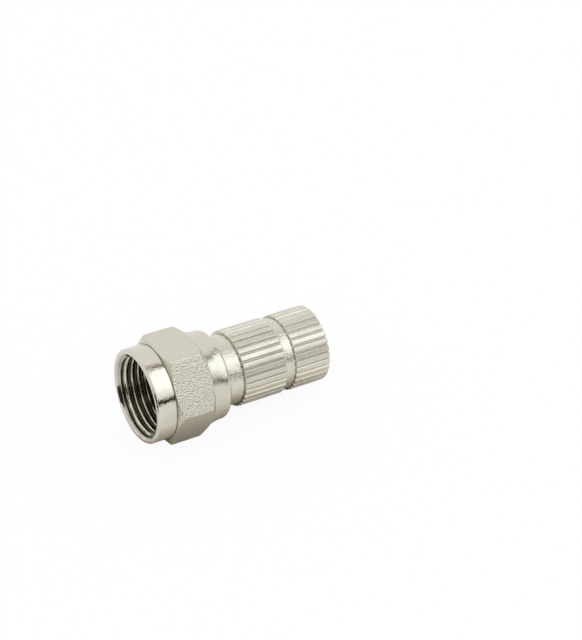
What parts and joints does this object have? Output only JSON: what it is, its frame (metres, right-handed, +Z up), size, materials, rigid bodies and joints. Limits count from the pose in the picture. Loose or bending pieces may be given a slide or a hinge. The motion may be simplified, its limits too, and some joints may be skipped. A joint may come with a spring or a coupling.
{
  "type": "f connector",
  "caption": "Twist-on coaxial F connector: a hexagonal coupling nut with a round collar spins on a knurled body bored and threaded for the cable.",
  "frame": {"origin": "on the ground under the middle of the connector's length, with the connector lying as it comes to rest", "axes": "+X along the connector towards its cable end, which slopes down by 4.0 degrees, with the nut's mouth towards -X; +Z up; Y across"},
  "size_m": [0.0232, 0.0128, 0.0115],
  "materials": {
    "bright_nickel": "bright nickel plating on brass, satin on the hexagon",
    "satin_nickel": "satin nickel plating on brass"
  },
  "bodies": {
    "body": {"knurled_body": "satin_nickel"},
    "nut": {"coupling_nut": "bright_nickel"}
  },
  "joints": [
    {"name": "nut_spin", "type": "hinge", "parent": "body", "child": "nut", "pos_m": [-0.00238, 0, 0.0054], "axis": [-0.9975, 0, 0.0704], "continuous": true}
  ]
}
